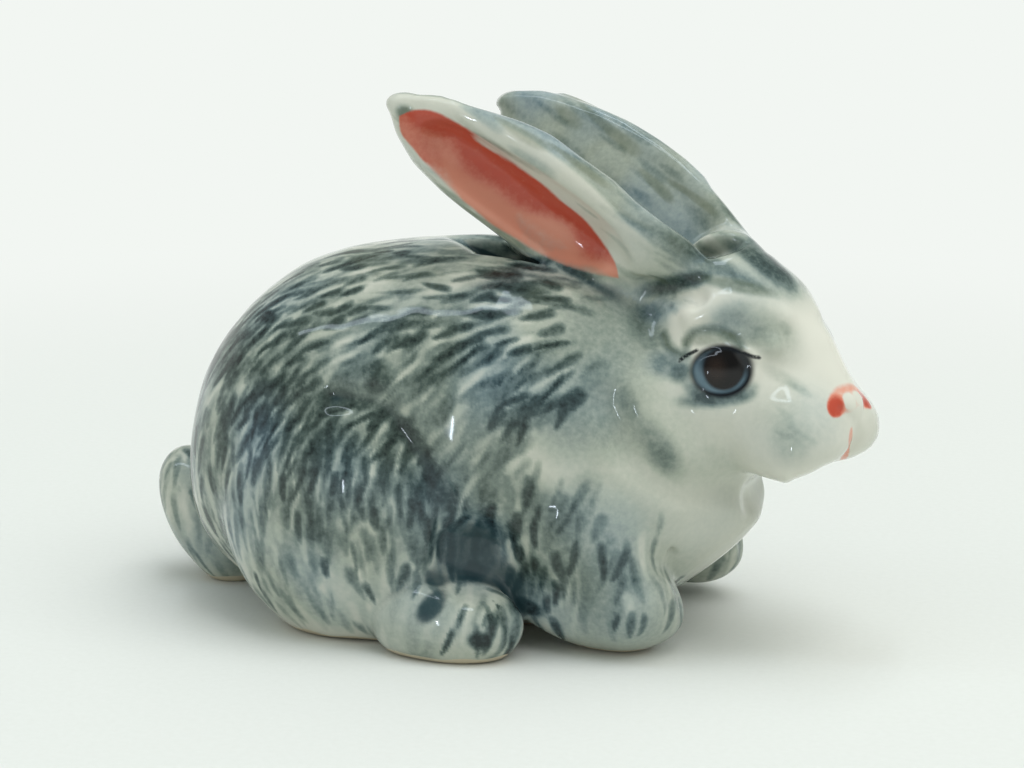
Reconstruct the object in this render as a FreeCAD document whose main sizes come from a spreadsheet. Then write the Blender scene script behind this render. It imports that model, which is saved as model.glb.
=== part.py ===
# Ceramic rabbit figurine, a glazed miniature some 53 mm long.
#
# The fired piece is built up from clay parts that are pressed separately, cleaned
# and stuck together with slip: a hollow body, a head, two ears, two thighs, two
# hind feet, two forelegs and a tail.  Each is one solid here, cut to the surface
# that it was stuck to, so that neighbours meet face to face.
#
# Frame: +X runs from tail to nose, +Y to the rabbit's left, +Z up.  The origin is
# the middle of the footprint, on the table.  Lengths are in millimetres.
import FreeCAD, Part
import math
import os

Vector = FreeCAD.Vector
Rotation = FreeCAD.Rotation
Placement = FreeCAD.Placement

doc = FreeCAD.newDocument("ceramic_rabbit")
sheet = doc.addObject("Spreadsheet::Sheet", "Sizes")

# Driving dimensions
SIZES = [
    ("body_length", 42.2),
    ("body_height", 27.2),
    ("body_width", 25.0),
    ("base_trim", 1.0),
    ("wall_thickness", 3.2),
    ("vent_diameter", 3.0),
    ("head_length", 17.6),
    ("head_height", 13.6),
    ("head_width", 11.6),
    ("head_pitch_angle", 28.0),
    ("head_turn_angle", 24.0),
    ("cheek_length", 11.0),
    ("cheek_height", 9.4),
    ("cheek_width", 6.4),
    ("brow_length", 7.0),
    ("brow_height", 3.0),
    ("brow_width", 2.4),
    ("eye_length", 4.2),
    ("eye_height", 3.6),
    ("eye_width", 3.0),
    ("muzzle_pad_length", 6.4),
    ("muzzle_pad_height", 4.8),
    ("muzzle_pad_width", 4.8),
    ("chin_length", 4.6),
    ("chin_height", 3.4),
    ("chin_width", 4.4),
    ("nose_length", 2.4),
    ("nose_height", 1.9),
    ("nose_width", 3.2),
    ("ear_length", 25.4),
    ("ear_width", 7.8),
    ("ear_thickness", 4.0),
    ("ear_right_rise_angle", 30.5),
    ("ear_left_rise_angle", 28.0),
    ("ear_spread_angle", 16.0),
    ("ear_turn_angle", 4.5),
    ("ear_roll_angle", 26.0),
    ("ear_cup_length", 18.8),
    ("ear_cup_width", 5.6),
    ("ear_cup_depth", 1.5),
    ("thigh_length", 19.6),
    ("thigh_height", 19.4),
    ("thigh_width", 12.4),
    ("thigh_rise_angle", 26.0),
    ("hind_foot_length", 11.0),
    ("hind_foot_height", 6.6),
    ("hind_foot_width", 6.4),
    ("foreleg_length", 13.0),
    ("foreleg_height", 7.2),
    ("foreleg_width", 6.4),
    ("foreleg_drop_angle", 14.0),
    ("upper_arm_length", 12.5),
    ("upper_arm_height", 10.0),
    ("upper_arm_width", 6.0),
    ("upper_arm_rise_angle", 72.0),
    ("foreleg_turn_angle", 8.0),
    ("tail_length", 11.4),
    ("tail_height", 6.4),
    ("tail_width", 7.2),
    ("tail_slope_angle", 56.0),
]
for row, (name, value) in enumerate(SIZES, start=1):
    sheet.set(f"A{row}", name)
    sheet.set(f"B{row}", str(value))
    sheet.setAlias(f"B{row}", name)
doc.recompute()


def size(name):
    return float(sheet.get(name))


# Ovals along each form, from its back end to its front end, as shares of its
# length, height and width: (along, low edge, high edge, width).  The first and last
# are the small flats on which a form is held while it is smoothed.
BODY_SHARES = [
    (0.000, 0.333, 0.433, 0.10),
    (0.023, 0.237, 0.544, 0.34),
    (0.065, 0.124, 0.708, 0.63),
    (0.162, 0.036, 0.872, 0.87),
    (0.277, 0.007, 0.953, 0.97),
    (0.416, 0.000, 0.989, 1.00),
    (0.554, 0.000, 1.000, 0.96),
    (0.693, 0.036, 0.956, 0.87),
    (0.808, 0.102, 0.861, 0.74),
    (0.900, 0.197, 0.737, 0.57),
    (0.970, 0.307, 0.599, 0.33),
    (1.000, 0.395, 0.495, 0.10),
]
HEAD_SHARES = [
    (0.00, 0.480, 0.580, 0.10),
    (0.05, 0.27, 0.82, 0.50),
    (0.14, 0.12, 0.96, 0.80),
    (0.28, 0.02, 1.00, 1.00),
    (0.44, 0.00, 0.96, 0.97),
    (0.61, 0.05, 0.86, 0.78),
    (0.78, 0.12, 0.74, 0.60),
    (0.91, 0.23, 0.66, 0.46),
    (0.975, 0.34, 0.58, 0.28),
    (1.00, 0.410, 0.510, 0.10),
]
EAR_SHARES = [
    (0.00, 0.450, 0.550, 0.10),
    (0.04, 0.32, 0.68, 0.36),
    (0.14, 0.10, 0.92, 0.70),
    (0.32, 0.02, 1.00, 0.94),
    (0.54, 0.00, 1.00, 1.00),
    (0.75, 0.06, 0.94, 0.92),
    (0.90, 0.17, 0.81, 0.66),
    (0.97, 0.32, 0.68, 0.36),
    (1.00, 0.450, 0.550, 0.10),
]
EGG_SHARES = [
    (0.00, 0.450, 0.550, 0.10),
    (0.04, 0.30, 0.70, 0.40),
    (0.14, 0.15, 0.85, 0.70),
    (0.32, 0.03, 0.97, 0.93),
    (0.52, 0.00, 1.00, 1.00),
    (0.72, 0.05, 0.95, 0.90),
    (0.88, 0.17, 0.83, 0.65),
    (0.965, 0.32, 0.68, 0.36),
    (1.00, 0.450, 0.550, 0.10),
]

# Middles of the forms that the body carries, as shares of its length, half its
# width and its height.  The left thigh and hind foot mirror the right ones; the
# left forepaw is set a little wider and higher than the right.
BODY_START_SHARE = -0.5344
ON_BODY_SHARES = {
    "head": (0.974, 0.000, 0.728),
    "thigh": (0.370, -0.650, 0.348),
    "hind_foot": (0.548, -0.870, 0.118),
    "foreleg_right": (0.750, -0.510, 0.174),
    "foreleg_left": (0.754, 0.700, 0.200),
    "upper_arm_right": (0.725, -0.580, 0.350),
    "upper_arm_left": (0.725, 0.620, 0.360),
    "tail": (0.008, 0.000, 0.195),
    "vent": (0.480, 0.000, 0.000),
}
# The same for what the head carries, as shares of its own length, half width and
# height; each is set out on both sides.
ON_HEAD_SHARES = {
    "cheek": (0.38, 0.62, 0.31),
    "brow": (0.47, 0.50, 0.75),
    "eye": (0.545, 0.68, 0.575),
    "muzzle_pad": (0.82, 0.33, 0.44),
    "chin": (0.74, 0.00, 0.16),
    "nose": (0.90, 0.00, 0.63),
    "ear_root": (0.30, 0.34, 0.70),
}
EAR_CUP_START_SHARE = 0.235

# Sides of the animal, as the sign of Y
RIGHT, LEFT = -1, 1

# Points through which each oval is drawn
OVAL_POINT_COUNT = 12


def oval(along, low, high, half_width):
    """A smooth oval across the X axis, in two halves that meet at top and bottom."""
    middle, half_height = (low + high) / 2, (high - low) / 2
    turns = [2 * math.pi * number / OVAL_POINT_COUNT for number in range(OVAL_POINT_COUNT)]
    ring = [
        Vector(along, half_width * math.sin(turn), middle + half_height * math.cos(turn))
        for turn in turns
    ]
    curve = Part.BSplineCurve()
    curve.interpolate(
        Points=ring,
        PeriodicFlag=True,
        Parameters=[number / OVAL_POINT_COUNT for number in range(OVAL_POINT_COUNT + 1)],
    )
    return Part.Wire([curve.toShape(0.0, 0.5), curve.toShape(0.5, 1.0)])


def clay_form(length, height, width, shares):
    """A rounded lump of clay: its ovals lofted from end to end, from x = 0."""
    sections = [
        oval(along * length, low * height, high * height, wide * width / 2)
        for along, low, high, wide in shares
    ]
    return Part.makeLoft(sections, True, False)


def turned(pitch=0.0, yaw=0.0, roll=0.0):
    """Rolls a form about its length, raises its front end, then turns it to the left."""
    return (
        Rotation(Vector(0, 0, 1), yaw)
        * Rotation(Vector(0, 1, 0), -pitch)
        * Rotation(Vector(1, 0, 0), roll)
    )


def add_form(name, shape, place):
    feature = doc.addObject("Part::Feature", name)
    feature.Shape = shape
    feature.Placement = place
    return feature


def add_centred(name, kind, shares, centre, turn):
    """A form with the sizes of its kind, its middle at centre."""
    length = size(f"{kind}_length")
    height = size(f"{kind}_height")
    width = size(f"{kind}_width")
    start = centre - turn.multVec(Vector(length / 2, 0, height / 2))
    return add_form(name, clay_form(length, height, width, shares), Placement(start, turn))


def cut(name, base, tool):
    feature = doc.addObject("Part::Cut", name)
    feature.Base = base
    feature.Tool = tool
    return feature


def fuse(name, shapes):
    feature = doc.addObject("Part::MultiFuse", name)
    feature.Shapes = shapes
    return feature


def mirrored(name, source):
    feature = doc.addObject("Part::Mirroring", name)
    feature.Source = source
    feature.Base = Vector(0, 0, 0)
    feature.Normal = Vector(0, 1, 0)
    return feature


def on_body(kind):
    along, across, up = ON_BODY_SHARES[kind]
    return Vector(
        (BODY_START_SHARE + along) * size("body_length"),
        across * size("body_width") / 2,
        up * size("body_height") - size("base_trim"),
    )


# The table, which trims flat whatever is pressed down on it
table = doc.addObject("Part::Box", "table")
table.setExpression("Length", "4 * Sizes.body_length")
table.setExpression("Width", "4 * Sizes.body_length")
table.setExpression("Height", "Sizes.body_height")
table.setExpression("Placement.Base.x", "-2 * Sizes.body_length")
table.setExpression("Placement.Base.y", "-2 * Sizes.body_length")
table.setExpression("Placement.Base.z", "-Sizes.body_height")

# Body: a hollow egg with an air vent through its underside
body_start = Vector(BODY_START_SHARE * size("body_length"), 0, -size("base_trim"))
body_form = add_form(
    "body_form",
    clay_form(size("body_length"), size("body_height"), size("body_width"), BODY_SHARES),
    Placement(body_start, Rotation()),
)
wall = size("wall_thickness")
hollow_form = add_form(
    "hollow_form",
    clay_form(
        size("body_length") - 2 * wall,
        size("body_height") - size("base_trim") - 2 * wall,
        size("body_width") - 2 * wall,
        BODY_SHARES,
    ),
    Placement(Vector(body_start.x + wall, 0, wall), Rotation()),
)
vent = doc.addObject("Part::Cylinder", "vent")
vent.setExpression("Radius", "Sizes.vent_diameter / 2")
vent.setExpression("Height", "3 * Sizes.wall_thickness")
vent_place = on_body("vent")
vent.Placement = Placement(Vector(vent_place.x, vent_place.y, -wall), Rotation())
body_on_table = cut("body_on_table", body_form, table)
body_hollowed = cut("body_hollowed", body_on_table, hollow_form)
body = cut("body", body_hollowed, vent)

# Head: the skull, with cheeks, brows, lidded eyes, muzzle pads, nose and chin worked up on it
head_turn = turned(-size("head_pitch_angle"), -size("head_turn_angle"))
head_centre = on_body("head")


def on_head(kind, side):
    along, across, up = ON_HEAD_SHARES[kind]
    local = Vector(
        (along - 0.5) * size("head_length"),
        side * across * size("head_width") / 2,
        (up - 0.5) * size("head_height"),
    )
    return head_centre + head_turn.multVec(local)


head_forms = [add_centred("skull", "head", HEAD_SHARES, head_centre, head_turn)]
for kind in ("chin", "nose"):
    head_forms.append(add_centred(kind, kind, EGG_SHARES, on_head(kind, LEFT), head_turn))
for kind in ("cheek", "brow", "eye", "muzzle_pad"):
    for side, side_name in ((RIGHT, "right"), (LEFT, "left")):
        head_forms.append(
            add_centred(f"{kind}_{side_name}", kind, EGG_SHARES, on_head(kind, side), head_turn)
        )
head_lump = fuse("head_lump", head_forms)

# Ears: blades swept back from the crown, each with a cup pressed into its outer face
ears = {}
for side, side_name in ((RIGHT, "right"), (LEFT, "left")):
    ear_turn = turned(
        size(f"ear_{side_name}_rise_angle"),
        180 - side * size("ear_spread_angle") - size("ear_turn_angle"),
        side * size("ear_roll_angle"),
    )
    root = on_head("ear_root", side)
    blade = add_form(
        f"ear_blade_{side_name}",
        clay_form(size("ear_length"), size("ear_width"), size("ear_thickness"), EAR_SHARES),
        Placement(root - ear_turn.multVec(Vector(0, 0, size("ear_width") / 2)), ear_turn),
    )
    # the blade points backwards, so its own left is the animal's right
    cup_start = Vector(
        EAR_CUP_START_SHARE * size("ear_length"),
        -side * size("ear_thickness") / 2,
        -size("ear_cup_width") / 2,
    )
    cup = add_form(
        f"ear_cup_{side_name}",
        clay_form(
            size("ear_cup_length"), size("ear_cup_width"), 2 * size("ear_cup_depth"), EGG_SHARES
        ),
        Placement(root + ear_turn.multVec(cup_start), ear_turn),
    )
    cupped = cut(f"ear_cupped_{side_name}", blade, cup)
    ears[side] = cut(f"ear_{side_name}", cupped, body_form)

head_off_body = cut("head_off_body", head_lump, body_form)
head_off_ear = cut("head_off_ear", head_off_body, ears[RIGHT])
head = cut("head", head_off_ear, ears[LEFT])

# Legs and tail: the right side's are trimmed by the table, then by what they lean on
thigh_form = add_centred(
    "thigh_form", "thigh", EGG_SHARES, on_body("thigh"), turned(size("thigh_rise_angle"))
)
thigh_on_table = cut("thigh_on_table", thigh_form, table)
thigh_right = cut("thigh_right", thigh_on_table, body_form)

foot_form = add_centred("foot_form", "hind_foot", EGG_SHARES, on_body("hind_foot"), turned())
foot_on_table = cut("foot_on_table", foot_form, table)
foot_off_body = cut("foot_off_body", foot_on_table, body_form)
hind_foot_right = cut("hind_foot_right", foot_off_body, thigh_form)
hind_feet = {RIGHT: hind_foot_right, LEFT: mirrored("hind_foot_left", hind_foot_right)}

forelegs = {}
for side, side_name in ((RIGHT, "right"), (LEFT, "left")):
    leg_turn = turned(-size("foreleg_drop_angle"), -side * size("foreleg_turn_angle"))
    leg_form = add_centred(
        f"leg_form_{side_name}", "foreleg", EGG_SHARES, on_body(f"foreleg_{side_name}"), leg_turn
    )
    arm_form = add_centred(
        f"arm_form_{side_name}",
        "upper_arm",
        EGG_SHARES,
        on_body(f"upper_arm_{side_name}"),
        turned(size("upper_arm_rise_angle")),
    )
    leg_lump = fuse(f"leg_lump_{side_name}", [leg_form, arm_form])
    leg_on_table = cut(f"leg_on_table_{side_name}", leg_lump, table)
    leg_off_body = cut(f"leg_off_body_{side_name}", leg_on_table, body_form)
    forelegs[side] = cut(f"foreleg_{side_name}", leg_off_body, hind_feet[side])

tail_turn = turned(-size("tail_slope_angle"))
tail_form = add_centred("tail_form", "tail", EGG_SHARES, on_body("tail"), tail_turn)
tail_on_table = cut("tail_on_table", tail_form, table)
tail = cut("tail", tail_on_table, body_form)

parts = {
    "body": body,
    "head": head,
    "ear_right": ears[RIGHT],
    "ear_left": ears[LEFT],
    "thigh_right": thigh_right,
    "thigh_left": mirrored("thigh_left", thigh_right),
    "hind_foot_right": hind_feet[RIGHT],
    "hind_foot_left": hind_feet[LEFT],
    "foreleg_right": forelegs[RIGHT],
    "foreleg_left": forelegs[LEFT],
    "tail": tail,
}
for name, feature in parts.items():
    feature.Label = name
doc.recompute()

# Every feature must have been worked out, and every part be one sound solid
for feature in doc.Objects:
    if "Invalid" in feature.State or "Error" in feature.State:
        raise RuntimeError(f"{feature.Label} was not built: {feature.State}")
for name, feature in parts.items():
    shape = feature.Shape
    if shape.isNull() or not shape.isValid() or len(shape.Solids) != 1:
        raise RuntimeError(f"{name} is not one sound solid")

os.makedirs("parts", exist_ok=True)
for name, feature in parts.items():
    feature.Shape.exportStep(f"parts/{name}.step")
    print(name, "volume", round(feature.Shape.Volume, 1))
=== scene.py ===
# %% [markdown]
# # A glazed porcelain rabbit
#
# The figurine was pressed from lumps of clay, stuck together with slip, painted
# with a soft brush in grey-green and blue-black under a clear glaze, and fired.
# This scene follows the same order.  It takes the clay pieces as they come from
# the CAD model, joins them with slip, models the face and the ears, paints the
# fur stroke by stroke, and sets the result on a pale floor under soft lamps.

# %% Loading the frame
import math

import bmesh
import bpy
import numpy as np
import openvdb
from mathutils import Matrix, Vector


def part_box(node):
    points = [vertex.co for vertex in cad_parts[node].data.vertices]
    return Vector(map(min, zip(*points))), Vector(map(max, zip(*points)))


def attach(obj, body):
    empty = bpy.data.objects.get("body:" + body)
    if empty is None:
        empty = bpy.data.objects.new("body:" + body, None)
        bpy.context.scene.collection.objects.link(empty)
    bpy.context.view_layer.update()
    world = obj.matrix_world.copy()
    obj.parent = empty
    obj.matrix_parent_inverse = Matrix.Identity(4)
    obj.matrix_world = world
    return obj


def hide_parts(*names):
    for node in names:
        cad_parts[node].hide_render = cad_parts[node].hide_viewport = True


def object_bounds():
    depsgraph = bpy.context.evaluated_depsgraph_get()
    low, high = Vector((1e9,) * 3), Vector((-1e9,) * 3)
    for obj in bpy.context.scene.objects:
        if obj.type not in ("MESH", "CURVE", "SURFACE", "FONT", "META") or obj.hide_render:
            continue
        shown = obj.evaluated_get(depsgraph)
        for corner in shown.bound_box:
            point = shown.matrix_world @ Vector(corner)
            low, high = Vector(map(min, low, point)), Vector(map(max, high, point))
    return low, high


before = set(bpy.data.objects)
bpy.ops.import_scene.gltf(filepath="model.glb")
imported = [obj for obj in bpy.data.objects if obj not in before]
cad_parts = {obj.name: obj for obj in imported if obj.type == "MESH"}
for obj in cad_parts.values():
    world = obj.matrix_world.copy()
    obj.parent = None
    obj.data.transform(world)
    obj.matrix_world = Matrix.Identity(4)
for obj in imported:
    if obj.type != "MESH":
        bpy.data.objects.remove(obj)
cad_low, cad_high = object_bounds()

MM = 0.001
rng = np.random.default_rng(11)
print("size of the clay in mm", [round((h - l) / MM, 2) for l, h in zip(cad_low, cad_high)])

# %% [markdown]
# ## Colours
#
# Every colour is named as it would be read off a screen, and turned into the
# linear light that the renderer works in by one function.

# %% Colours
COLOURS = {
    "porcelain": "#D6D6C9",
    "green_thin": "#A9B0A2",
    "green_middle": "#76837A",
    "green_thick": "#46544E",
    "green_black": "#202B28",
    "blue_thin": "#A2AFAD",
    "blue_middle": "#6C8085",
    "blue_thick": "#3C5058",
    "blue_black": "#1D2A31",
    "olive": "#62694A",
    # next: dark teal for glaze pooled in the creases and for the shade painted into them
    "pool": "#2A4045",
    "coral": "#B43C22",
    "salmon": "#D68B72",
    "eyeball": "#5E7682",
    "iris": "#080707",
    "iris_light": "#241B16",
    "lid_line": "#10161B",
    "bare_clay": "#C2B79F",
    "floor": "#DCDFDA",
    "floor_grain": "#D6D9D3",
    "backdrop": "#F2F6F2",
}


def to_linear(hex_colour, alpha=1.0):
    channels = [int(hex_colour[i : i + 2], 16) / 255 for i in (1, 3, 5)]
    linear = [c / 12.92 if c <= 0.04045 else ((c + 0.055) / 1.055) ** 2.4 for c in channels]
    return (*linear, alpha)


# %% [markdown]
# ## The floor, the lamps and the camera
#
# The figurine stands on a plain pale floor.  The light is soft and comes from
# the upper right, with a weak lamp on the left to open the shadows.  A glaze
# looks wet where it mirrors a lamp, so three thin bright tubes are added for it,
# and the large lamps are kept out of its reflections.

# %% The camera
CAMERA_AZIMUTH = 21.0
CAMERA_ELEVATION = 12.0
CAMERA_DISTANCE = 160.0
CAMERA_TARGET = Vector((1.15, 0.0, 16.0))
FOCAL_LENGTH = 81.6
SENSOR_WIDTH = 36.0


def towards(azimuth, elevation):
    """A unit vector from the object towards something seen at these angles."""
    a, e = math.radians(azimuth), math.radians(elevation)
    return Vector((math.sin(a) * math.cos(e), -math.cos(a) * math.cos(e), math.sin(e)))


def look_at(thing, place, target):
    thing.location = place
    thing.rotation_mode = "QUATERNION"
    thing.rotation_quaternion = (target - place).to_track_quat("-Z", "Y")


def set_camera():
    camera = bpy.data.objects.new("camera", bpy.data.cameras.new("camera"))
    bpy.context.scene.collection.objects.link(camera)
    camera.data.lens = FOCAL_LENGTH
    camera.data.sensor_width = SENSOR_WIDTH
    camera.data.clip_start = 0.01
    camera.data.clip_end = 10.0
    back = towards(CAMERA_AZIMUTH, CAMERA_ELEVATION)
    place = (CAMERA_TARGET + back * CAMERA_DISTANCE) * MM
    look_at(camera, place, CAMERA_TARGET * MM)
    bpy.context.scene.camera = camera
    print("camera at", [round(v / MM, 1) for v in place])


set_camera()

# %% The lamps
LIT_PLACE = Vector((0.0, 0.0, 15.0))
BOX_DISTANCE = 900.0
WINDOW_BLUE = "#DDEBF8"


def area_lamp(name, width, height, watts, colour="#FFFFFF"):
    data = bpy.data.lights.new(name, "AREA")
    data.shape = "RECTANGLE"
    data.size = width * MM
    data.size_y = height * MM
    data.energy = watts
    data.color = to_linear(colour)[:3]
    lamp = bpy.data.objects.new(name, data)
    bpy.context.scene.collection.objects.link(lamp)
    return lamp


def add_soft_box(name, azimuth, elevation, side, watts):
    """A large square lamp that lights the glaze and isn't mirrored in it."""
    lamp = area_lamp(name, side, side, watts)
    look_at(lamp, (LIT_PLACE + towards(azimuth, elevation) * BOX_DISTANCE) * MM, LIT_PLACE * MM)
    lamp.visible_glossy = False


def add_tube(name, start, end, width, watts, colour):
    """A thin bright lamp between two places, which the glaze mirrors as a line."""
    start, end = Vector(start), Vector(end)
    centre = (start + end) / 2
    along = (end - start).normalized()
    back = centre - LIT_PLACE
    back = (back - along * back.dot(along)).normalized()
    turn = Matrix((along, back.cross(along), back)).transposed().to_4x4()
    tube = area_lamp(name, (end - start).length, width, watts, colour)
    tube.matrix_world = Matrix.Translation(centre * MM) @ turn


add_soft_box("key_light", 78, 58, 800, 4.3)
add_soft_box("fill_light", -50, 30, 600, 0.6)
add_soft_box("top_light", 150, 76, 800, 2.6)
add_tube("window_edge", (-330, -105, 300), (0, -60, 300), 26, 0.14, WINDOW_BLUE)
add_tube("window_corner", (10, -60, 300), (-36, 114, 300), 26, 0.08, WINDOW_BLUE)
add_tube("front_tube", (-49, -395, 30), (-49, -395, 90), 6, 0.06, "#E6F2FF")
print("lamps", [lamp.name for lamp in bpy.data.lights])

# %% The floor
FLOOR_SIZE = 2400.0


def add_floor():
    half = FLOOR_SIZE / 2 * MM
    mesh = bpy.data.meshes.new("floor")
    corners = [(-half, -half, 0), (half, -half, 0), (half, half, 0), (-half, half, 0)]
    mesh.from_pydata(corners, [], [(0, 1, 2, 3)])
    floor = bpy.data.objects.new("floor", mesh)
    bpy.context.scene.collection.objects.link(floor)
    return floor


floor = add_floor()

# %% [markdown]
# ## Reading the clay pieces
#
# Each piece becomes a block of numbers: the distance to its surface, negative
# inside the clay.  Distances are easy to join, press and round off, much as
# clay is, so the whole rabbit is modelled in one such block and skinned at the
# end.

# %% The block
VOXEL = 0.18
BAND = 14
FAR = VOXEL * BAND
MARGIN = 3.0
SIDES = {"right": -1, "left": 1}
PAIRS = ["ear", "thigh", "hind_foot", "foreleg"]
PIECES = ["body", "head", *(f"{kind}_{side_name}" for kind in PAIRS for side_name in SIDES), "tail"]

corner_low = np.array(cad_low) / MM - MARGIN
corner_high = np.array(cad_high) / MM + MARGIN
first_cell = np.floor(corner_low / VOXEL).astype(int)
cell_count = np.ceil(corner_high / VOXEL).astype(int) - first_cell + 1
axes_mm = [(first_cell[i] + np.arange(cell_count[i])) * VOXEL for i in range(3)]
voxel_grid = openvdb.createLinearTransform(voxelSize=VOXEL)
print("block of", cell_count.tolist(), "cells")

# %% Distances to the pieces
HULL_POINTS = 6000


def node_mesh(name):
    """Points in millimetres and triangles of a CAD node."""
    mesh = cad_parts[name].data
    mesh.calc_loop_triangles()
    points = np.zeros(len(mesh.vertices) * 3, np.float32)
    mesh.vertices.foreach_get("co", points)
    triangles = np.zeros(len(mesh.loop_triangles) * 3, np.int32)
    mesh.loop_triangles.foreach_get("vertices", triangles)
    return points.reshape(-1, 3) / MM, triangles.reshape(-1, 3).astype(np.uint32)


def outer_skin(points):
    """The convex outside of the hollow body, so that its cavity counts as clay."""
    shell = bmesh.new()
    for point in points[:: max(1, len(points) // HULL_POINTS)]:
        shell.verts.new(point)
    bmesh.ops.convex_hull(shell, input=shell.verts)
    bmesh.ops.delete(shell, geom=[v for v in shell.verts if not v.link_faces], context="VERTS")
    bmesh.ops.triangulate(shell, faces=shell.faces)
    shell.verts.index_update()
    corners = np.array([v.co[:] for v in shell.verts], np.float32)
    faces = np.array([[v.index for v in face.verts] for face in shell.faces], np.uint32)
    shell.free()
    return corners, faces


def clay_distance(name):
    points, triangles = node_mesh(name)
    if name == "body":
        points, triangles = outer_skin(points)
    grid = openvdb.FloatGrid.createLevelSetFromPolygons(
        points, triangles=triangles, transform=voxel_grid, halfWidth=BAND
    )
    block = np.full(cell_count, FAR, np.float32)
    grid.copyToArray(block, ijk=tuple(int(i) for i in first_cell))
    return block


# %% Joining the pieces with slip
SLIP_FILLET = dict(body=0.0, head=1.3, ear=1.2, thigh=0.7, hind_foot=0.5, foreleg=1.0, tail=0.5)


def kind_of(name):
    return name.replace("_right", "").replace("_left", "")


def merge(a, b, fillet):
    """The union of two distances, with the inner corner filled by slip."""
    if fillet <= 0:
        return np.minimum(a, b)
    overlap = np.maximum(fillet - np.abs(a - b), 0.0) / fillet
    return np.minimum(a, b) - overlap * overlap * fillet * 0.25


def join_pieces():
    """The joined clay, and which piece each cell is nearest to."""
    clay = nearest = clay_distance(PIECES[0])
    owner = np.zeros(clay.shape, np.uint8)
    for index, name in enumerate(PIECES[1:], start=1):
        distance = clay_distance(name)
        clay = merge(clay, distance, SLIP_FILLET[kind_of(name)])
        owner[distance < nearest] = index
        nearest = np.minimum(nearest, distance)
    return clay, owner


clay, owner = join_pieces()
print("clay fills", int((clay < 0).sum()), "cells")

# %% [markdown]
# ## Modelling tools
#
# A tool is a shape with a place.  Adding it raises the clay, pressing it in
# leaves its print.  The head, the face and the ears each have axes of their
# own, so that a feature is placed on them and not in the room.

# %% Shapes of the tools


def region(centre, reach):
    """The slices of the block within reach of a point."""
    slices = []
    for axis in range(3):
        low = int((centre[axis] - reach) / VOXEL) - first_cell[axis]
        high = int((centre[axis] + reach) / VOXEL) - first_cell[axis] + 2
        slices.append(slice(max(low, 0), min(high, int(cell_count[axis]))))
    return tuple(slices)


def cells(slices):
    """The places of the cells in a region, in millimetres."""
    lines = [axes_mm[i][slices[i]] for i in range(3)]
    return np.stack(np.meshgrid(*lines, indexing="ij"), axis=-1)


def egg_distance(points, centre, radii):
    """Distance to an ellipsoid, true near its surface."""
    offset, radii = points - centre, np.asarray(radii, float)
    near = np.linalg.norm(offset / radii, axis=-1)
    steep = np.linalg.norm(offset / radii**2, axis=-1)
    return near * (near - 1.0) / np.maximum(steep, 1e-9)


def rod_distance(points, start, end, start_radius, end_radius):
    """Distance to a tapering rod with round ends."""
    start, end = np.asarray(start, float), np.asarray(end, float)
    along = end - start
    share = np.clip((points - start) @ along / (along @ along), 0.0, 1.0)
    centre = start + share[..., None] * along
    radius = start_radius + share * (end_radius - start_radius)
    return np.linalg.norm(points - centre, axis=-1) - radius


def roll_distance(points, path, radius):
    """Distance to a roll of even thickness along a path."""
    distance = np.full(points.shape[:-1], FAR)
    for start, end in zip(path[:-1], path[1:]):
        distance = np.minimum(distance, rod_distance(points, start, end, radius, radius))
    return distance


def add_clay(slices, distance, fillet):
    clay[slices] = merge(clay[slices], distance.astype(np.float32), fillet)


def press(slices, distance, fillet):
    clay[slices] = -merge(-clay[slices], distance.astype(np.float32), fillet)


# %% Reading the clay at a point


def sample(volume, points):
    """Values of a block at points, by straight-line blending of its cells."""
    spot = points / VOXEL - first_cell
    base = np.clip(np.floor(spot).astype(int), 0, cell_count - 2)
    part = np.clip(spot - base, 0.0, 1.0)
    total = np.zeros(len(points))
    for corner in range(8):
        step = np.array([(corner >> 2) & 1, (corner >> 1) & 1, corner & 1])
        weight = np.prod(np.where(step, part, 1.0 - part), axis=1)
        i, j, k = (base + step).T
        total += weight * volume[i, j, k]
    return total


def slope(volume, points, step=VOXEL):
    """Unit normals: the direction in which the distance grows."""
    normals = np.zeros((len(points), 3))
    for axis in range(3):
        shift = np.zeros(3)
        shift[axis] = step
        normals[:, axis] = sample(volume, points + shift) - sample(volume, points - shift)
    return normals / np.maximum(np.linalg.norm(normals, axis=1, keepdims=True), 1e-9)


# %% Places with axes of their own


def turned(pitch=0.0, yaw=0.0, roll=0.0):
    """Rolls about x, raises the front end, then turns it to the left; columns are the axes."""
    turn = Matrix.Rotation(math.radians(yaw), 3, "Z")
    turn = turn @ Matrix.Rotation(math.radians(-pitch), 3, "Y")
    return np.array(turn @ Matrix.Rotation(math.radians(roll), 3, "X"))


class Place:
    """A set of axes of its own somewhere on the figurine."""

    def __init__(self, centre, turn):
        self.centre = np.array(centre, float)
        self.turn = turn

    def world(self, local):
        return self.centre + np.asarray(local, float) @ self.turn.T

    def local(self, points):
        return (points - self.centre) @ self.turn


# %% Rolls laid along a path


def smooth_path(corners, count=14):
    """Points on a smooth curve through the corners."""
    corners = np.asarray(corners, float)
    padded = np.vstack([2 * corners[0] - corners[1], corners, 2 * corners[-1] - corners[-2]])
    path = []
    for spot in np.linspace(0, len(corners) - 1.001, count):
        first = int(spot)
        t = spot - first
        a, b, c, d = padded[first : first + 4]
        path.append(
            b + t * (c - a) / 2 + t**2 * (2 * a - 5 * b + 4 * c - d) / 2 + t**3 * (3 * b - a - 3 * c + d) / 2
        )
    return np.array(path)


def touch(place, u, v, reach=9.0):
    """Where a tool pushed in along the place's own third axis meets the clay, or passes closest to it."""
    depth = np.arange(reach, -reach, -0.06)
    line = place.world(np.stack([np.full_like(depth, u), np.full_like(depth, v), depth], axis=1))
    distance = sample(clay, line)
    return line[np.argmax(distance < 0.0) if distance.min() < 0.0 else np.argmin(distance)]


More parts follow.
